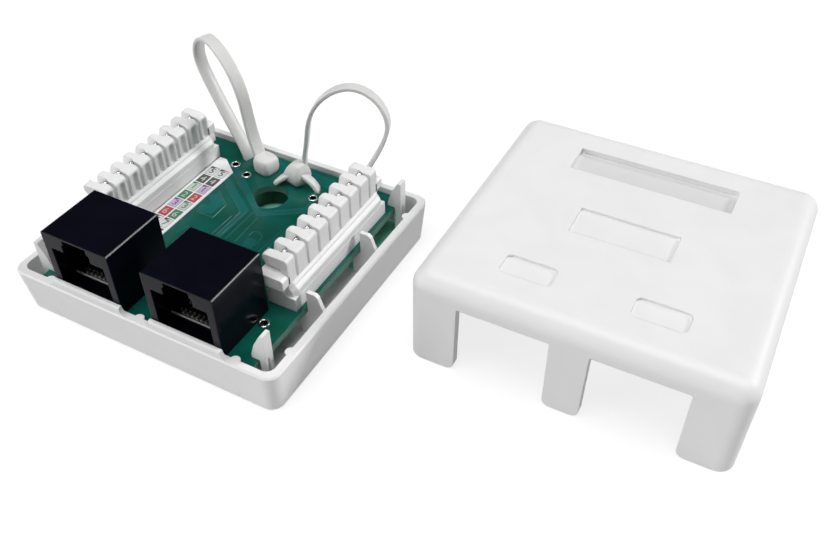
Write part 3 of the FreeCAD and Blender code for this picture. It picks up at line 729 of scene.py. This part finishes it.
slot_back = (*slot_nose, (0.0, 0.55, 0.48), (0.55, 0.55, 0.50), (0.72, 1.0, 0.84), *slot_tail)
slot_front = (*slot_nose, (0.0, 0.62, 0.62), (0.55, 0.62, 0.68), (0.72, 1.0, 0.80), *slot_tail)
plain_side = ((-2.8, 0.80, 0.70), (-2.68, 0.93, 0.82),
              *((a, 1.0, 0.88) for a, _, _ in slot_back[2:-1]), (2.8, 0.90, 0.80))
scoop_low = 17.2
scoop_high = 19.3
scoop_depth = 0.75
scoop_reach = 1.5
flute_run = ((0.80, 0.0), (0.62, 0.35), (0.35, 0.85), (0.0, 1.0), (-0.35, 0.85), (-0.62, 0.35),
             (-0.80, 0.0))
flute_half = flute_run[0][0]
flute_inset = 0.95
flute_depth = 0.75
flute_top = 19.6
flute_fade = 1.0
rounding_share = 0.96


def tooth_outline(sides, half, mouth, scoop):
    """Plan round a tooth's own middle: front side, right end, back side, left end.

    A side's corner is (x, share of the half width below the slot's mouth, share at the top).
    A plain side is scooped out over its left part.
    """
    edges = []
    for sign, side in zip((-1, 1), sides):
        run = [(a, sign * half * (low + (top - low) * mouth)) for a, low, top in side]
        if side is plain_side:
            run = [(a, y - sign * scoop * (a < scoop_reach)) for a, y in run]
        edges.append(run)
    right_end = [(tooth_reach, -y) for y, _ in flute_run]
    left_end = [(-tooth_reach, y) for y, _ in flute_run]
    return np.array(edges[0] + right_end + edges[1][::-1] + left_end)


def tooth_points(x, y_low, y_high, sides, fluted, roundings):
    """Skin of one tooth, [level, corner, 3], from its root to a closed top.

    At each level the plan is drawn for that height. Near the top, at the height h over the
    start of a rounding R, the left and right ends draw in by R - sqrt(R^2 - h^2).
    """
    half = (y_high - y_low) / 2
    middle = (y_low + y_high) / 2
    right_end = slice(len(sides[0]), len(sides[0]) + len(flute_run))
    left_end = slice(-len(flute_run), None)
    flute = np.array([depth for _, depth in flute_run]) * flute_depth
    rows = []
    for z in tooth_levels:
        mouth = np.clip((z - tooth_top + mouth_depth) / mouth_depth, 0, 1)
        scoop = 0.0
        if z > lip_top:
            scoop = scoop_depth * np.clip((scoop_high - z) / (scoop_high - scoop_low), 0, 1)
        row = tooth_outline(sides, half, mouth, scoop)
        if fluted:
            row[right_end, 0] -= flute * np.clip((flute_top - z) / flute_fade, 0, 1)
        for end, rounding in zip((-1, 1), roundings):
            rise = np.clip((z - (tooth_top - rounding)) / rounding, 0, 1)
            drawn = rounding * (1 - math.sqrt(1 - rise * rise * rounding_share))
            outer = row[:, 0] * end > 0
            row[outer, 0] *= 1 - drawn / tooth_reach
        right_room = np.abs(row[[right_end.start - 1, right_end.stop], 1]).min()
        left_room = abs(row[0, 1])
        row[right_end, 1] *= min(1, flute_inset * right_room / flute_half)
        row[left_end, 1] *= min(1, flute_inset * left_room / flute_half)
        rows.append(np.stack([row[:, 0] + x, row[:, 1] + middle, np.full(len(row), z)], axis=1))
    top = rows[-1]
    for share in (0.5, 0.0):
        cap = top.copy()
        cap[:, 1] = middle + (top[:, 1] - middle) * share
        cap[:, 2] = tooth_top + tooth_cap
        rows.append(cap)
    return np.array(rows)


def block_mesh(name, x, fluted, roundings):
    """Bar, two end lips and nine teeth of one block."""
    low = block_middle_y - block_half_length
    high = block_middle_y + block_half_length
    solids = [
        prism([end_section, bar_section, bar_section, end_section], x,
              [low, low + end_taper, high - end_taper, high]),
        prism([lip_section] * 2, x, [low - lip_overhang, low + lip_overlap]),
        prism([lip_section] * 2, x, [high - lip_overlap, high + lip_overhang]),
    ]
    first = block_middle_y - (slot_count - 1) / 2 * slot_pitch
    slots = [first + i * slot_pitch for i in range(slot_count)]
    lows = [low] + [y + slot_half for y in slots]
    highs = [y - slot_half for y in slots] + [high]
    teeth = []
    for i, (start, end) in enumerate(zip(lows, highs)):
        sides = (plain_side if i == 0 else slot_front, plain_side if i == slot_count else slot_back)
        teeth.append(wrapped(tooth_points(x, start, end, sides, fluted, roundings)) * mm)
    return joined_mesh(name, teeth, solids)


for side_name, block_x, fluted, roundings in blocks:
    name = "punch_down_block_" + side_name
    block = add_piece(name, block_mesh(name, block_x, fluted, roundings), block_white)
    block.data.set_sharp_from_angle(angle=crease_angle)
    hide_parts("idc_" + side_name + "_body")
    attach(block, "root")


# Punch-down blades
# Blades of tinned bronze standing in the slots: their rolled tips are polished bright, and
# the metal below them is painted dark for the shade in the slots.

blade_rows = (("left", -22.62), ("right", 20.53))
slot_shade_levels = (20.12 * mm, 20.18 * mm)
painted_slot_shade = (0.015, 0.015, 0.014)
polished = (0.93, 0.93, 0.92)
blade_tin = plated("blade_tin", (0.90, 0.90, 0.89), 0.2)
tree = blade_tin.node_tree
# Painted shade: below the tips the metal is coloured nearly black.
bright = ramp(tree, axes(tree, object_place(tree))["Z"], *slot_shade_levels)
set_inputs(tree, tree.nodes["Principled BSDF"],
           {"Base Color": mixed(tree, bright, painted_slot_shade, polished)})
blade_profile = np.array([(0.30, 9.05), (0.34, 18.6), (0.46, 19.2), (0.53, 19.55), (0.54, 19.85),
                          (0.48, 20.15), (0.33, 20.35), (0.15, 20.44), (0.0, 20.45)])
blade_sides = 24
blade_turn = np.linspace(0, 2 * np.pi, blade_sides, endpoint=False)


def blade_points(x, y):
    """Post turned from its profile of (radius, height): [station, side, 3]."""
    radius = blade_profile[:, :1]
    height = np.broadcast_to(blade_profile[:, 1:], (len(blade_profile), blade_turn.size))
    return np.stack([x + radius * np.cos(blade_turn), y + radius * np.sin(blade_turn), height], -1)


for side_name, blade_x in blade_rows:
    for i in range(slot_count):
        blade_y = block_middle_y + (i - (slot_count - 1) / 2) * slot_pitch
        name = "blade_" + side_name + "_" + str(i + 1)
        mesh = joined_mesh(name, [wrapped(blade_points(blade_x, blade_y)) * mm])
        blade = add_piece(name, mesh, blade_tin)
        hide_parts("idc_" + side_name + "_blade_" + str(i + 1))
        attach(blade, "root")


# Cable ties
# Natural nylon straps, milky and slightly see-through. The left one shows fine cross teeth
# between two plain rails, and each head is a small blunt moulded block.

left_half_width = 1.45
right_half_width = 1.1
strap_half_thickness = 0.42
tooth_pitch = 0.65
tooth_depth = 0.26
tooth_floor = 0.4
band_half = 0.62
station_gap = 0.13
slot_under = -2.4
left_outer = np.array((-12.8, 24.3))
left_inner = np.array((-7.4, 22.45))
right_inner = np.array((7.5, 21.7))
right_outer = np.array((16.0, 24.6))
left_reach = 14.8
left_rise = 25.9
left_teeth = (0.1, 0.55)
right_reach = 20.1
right_rise = 26.4
no_teeth = (0.0, 0.0)
loop_stations = 300
tail_stations = 60
softenings = 16
taper_length = 2.2
head_squareness = 4
head_sides = 48
left_head_shift = (1.1, -0.45)
left_head_turn = -10
left_start_height = 0.5
right_head_shift = (-5.4, 0.3)
right_head_turn = -12
right_start_shift = (-4.1, 1.9)
left_shares = [(0, 0.0), (-0.041, 0.052), (-0.162, 0.141), (-0.446, 0.311), (-0.669, 0.461),
               (-0.878, 0.612), (-1, 0.782), (-0.905, 0.929), (-0.676, 1), (-0.419, 0.963),
               (-0.108, 0.82), (0.068, 0.627), (0.135, 0.442), (0.243, 0.214), (0.338, 0.098)]
right_shares = [(-0.02, 0.081), (-0.01, 0.195), (0.04, 0.392), (0.085, 0.581), (0.189, 0.759),
                (0.393, 0.922), (0.642, 1), (0.861, 0.953), (1, 0.778), (0.96, 0.604),
                (0.836, 0.396), (0.706, 0.199), (0.642, 0.066), (0.629, 0.0)]
tail_steps = [(-9.0, -3.4, 0.7), (-8.1, -2.3, 1.5), (-6.2, -0.9, 2.5), (-4.2, -0.3, 2.9),
              (-2.3, -0.1, 2.0), (-0.9, 0, 0.8), (0, 0, -0.6)]


def unit(vector):
    """The vector at a length of one."""
    return vector / np.linalg.norm(vector)


def spline(points, count):
    """Natural cubic spline through the points, knots spaced by chord length.

    Between knots i and i+1, h apart: p + u (dp/h - h (2m + m')/6) + u^2 m/2 + u^3 (m' - m)/6h,
    where the second derivatives m make the slopes agree at every knot.
    """
    p = np.array(points, float)
    h = np.linalg.norm(np.diff(p, axis=0), axis=1)
    knots = np.concatenate([[0], np.cumsum(h)])
    system = np.eye(len(p))
    rates = np.zeros_like(p)
    for i in range(1, len(p) - 1):
        system[i, i - 1:i + 2] = h[i - 1], 2 * (h[i - 1] + h[i]), h[i]
        rates[i] = 6 * ((p[i + 1] - p[i]) / h[i] - (p[i] - p[i - 1]) / h[i - 1])
    m = np.linalg.solve(system, rates)
    at = np.linspace(0, knots[-1], count)
    k = np.clip(np.searchsorted(knots, at, "right") - 1, 0, len(h) - 1)
    u = (at - knots[k])[:, None]
    h = h[k][:, None]
    return (p[k] + u * ((p[k + 1] - p[k]) / h - h * (2 * m[k] + m[k + 1]) / 6)
            + u ** 2 * m[k] / 2 + u ** 3 * (m[k + 1] - m[k]) / (6 * h))


def even_path(points):
    """The same path with stations an even step apart, its corners softened a little."""
    p = np.array(points, float)
    length = np.concatenate([[0], np.cumsum(np.linalg.norm(np.diff(p, axis=0), axis=1))])
    at = np.linspace(0, length[-1], int(length[-1] / station_gap))
    p = np.stack([np.interp(at, length, p[:, axis]) for axis in range(3)], axis=1)
    for _ in range(softenings):
        p[1:-1] = (p[:-2] + 2 * p[1:-1] + p[2:]) / 4
    return p


def loop_points(origin, toward, reach, rise, shares):
    """Points of an upright loop: shares of its reach along the plane and of its rise."""
    along = unit(toward - origin)
    shares = np.array(shares)
    plan = origin + shares[:, :1] * reach * along
    return np.concatenate([plan, shares[:, 1:] * rise], axis=1)


def strap_points(path, across, half_width, teeth, face, taper=0.0):
    """Surface of a strap swept along its path: [station, corner, 3], closed at both ends.

    The cross-section is a flat bar with eased corners. Over the toothed share its middle
    band sinks by depth (f + (1 - f) frac(s / pitch)), s being the length along the path and
    f the share of the depth that is sunk everywhere. The face, 1 or -1, says which side has
    the teeth. A tapered strap narrows towards the start of its path, its free end.
    """
    along = np.gradient(path, axis=0)
    along /= np.linalg.norm(along, axis=1, keepdims=True)
    across = np.broadcast_to(across, path.shape)
    normal = np.cross(along, across)
    normal /= np.linalg.norm(normal, axis=1, keepdims=True)
    s = np.arange(len(path)) * station_gap
    share = s / s[-1]
    sunk = tooth_depth * (tooth_floor + (1 - tooth_floor) * (s / tooth_pitch % 1))
    sunk = np.where((share > teeth[0]) & (share < teeth[1]), sunk, 0.0)[:, None]
    section = np.array([(-1, -0.55), (-0.9, -1), (-0.66, -1), (-0.6, -1), (0.6, -1), (0.66, -1),
                        (0.9, -1), (1, -0.55), (1, 0.55), (0.9, 1), (0.0, 1), (-0.9, 1), (-1, 0.55)])
    band = (np.abs(section[:, 0]) < band_half) & (section[:, 1] < 0)
    narrow = 1 - taper * np.clip(1 - s / taper_length, 0, 1)[:, None] ** 2
    a = section[None, :, 0] * half_width * narrow
    b = face * (section[None, :, 1] * strap_half_thickness + band[None, :] * sunk)
    skin = path[:, None] + a[..., None] * across[:, None] + b[..., None] * normal[:, None]
    ends = [np.repeat(path[end][None, None], skin.shape[1], axis=1) for end in (0, -1)]
    return np.concatenate([ends[0], skin, ends[1]])


def head_points(place, turn, rings):
    """Rounded block: level rings |x/a|^n + |y/b|^n = 1, n the squareness, closed at the top.

    Each ring is (height, half length, half width, shift along).
    """
    angle = np.linspace(0, 2 * np.pi, head_sides, endpoint=False)
    power = 2 / head_squareness
    x = np.sign(np.cos(angle)) * np.abs(np.cos(angle)) ** power
    y = np.sign(np.sin(angle)) * np.abs(np.sin(angle)) ** power
    rows = []
    for height, half_length, half_width, shift in rings:
        level = np.full(head_sides, height)
        rows.append(np.stack([x * half_length + shift, y * half_width, level], 1))
    rows = np.array(rows)
    turn = math.radians(turn)
    turned = np.array([(math.cos(turn), math.sin(turn), 0), (-math.sin(turn), math.cos(turn), 0),
                       (0, 0, 1)])
    return rows @ turned + (*place, 0)


def tie_piece(name, node, grids):
    """Nylon piece that stands in for one of the CAD's cable ties."""
    lifted = [wrapped(grid) * mm + (0, 0, board_top) for grid in grids]
    piece = add_piece(name, joined_mesh(name, lifted), nylon)
    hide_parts(node)
    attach(piece, "root")


nylon = moulded("nylon", (0.76, 0.76, 0.75), (0.73, 0.73, 0.72), 0.4, flow=300, edge=0)
set_inputs(nylon.node_tree, nylon.node_tree.nodes["Principled BSDF"], {
    "Subsurface Weight": 0.4,
    "Subsurface Radius": (1.0, 1.0, 0.95),
    "Subsurface Scale": 0.6 * mm,
})

left_along = unit(left_inner - left_outer)
left_across = np.array((-left_along[1], left_along[0], 0))
left_loop = spline(loop_points(left_outer, left_inner, left_reach, left_rise, left_shares),
                   loop_stations)
left_path = even_path([(*left_inner, left_start_height), (*left_inner, slot_under),
                       (*left_outer, slot_under), *left_loop])
left_head = [(0, 1.9, 2.0, 0), (0.5, 2.2, 2.3, 0), (1.2, 2.35, 2.4, 0), (2.9, 2.3, 2.35, 0),
             (3.6, 2.0, 2.05, -0.1), (3.75, 1.8, 1.85, -0.1), (3.85, 0, 0, -0.1)]
tie_piece("nylon_tie_left", "cable_tie_left", [
    strap_points(left_path, left_across, left_half_width, left_teeth, -1),
    head_points(left_inner + left_head_shift, left_head_turn, left_head),
])

right_along = unit(right_outer - right_inner)
right_across = np.array((-right_along[1], right_along[0], 0))
right_start = right_inner + right_start_shift
right_loop = spline(loop_points(right_start, right_outer, right_reach, right_rise, right_shares),
                    loop_stations)[::-1]
right_tail = spline([(right_inner[0] + x, right_inner[1] + y, z) for x, y, z in tail_steps],
                    tail_stations)
right_path = even_path([*right_tail, (*right_inner, slot_under), (*right_outer, slot_under),
                        *right_loop])
right_head = [(0, 1.6, 1.7, 0), (0.7, 2.2, 2.3, 0), (1.7, 2.45, 2.6, 0), (2.8, 2.35, 2.5, 0),
              (3.8, 1.95, 2.1, 0.1), (4.6, 1.45, 1.6, 0.2), (5.1, 1.1, 1.3, 0.3),
              (5.2, 0, 0, 0.3)]
tie_piece("nylon_tie_right", "cable_tie_right", [
    strap_points(right_path, right_across, right_half_width, no_teeth, 1, taper=0.5),
    head_points(right_inner + right_head_shift, right_head_turn, right_head),
])
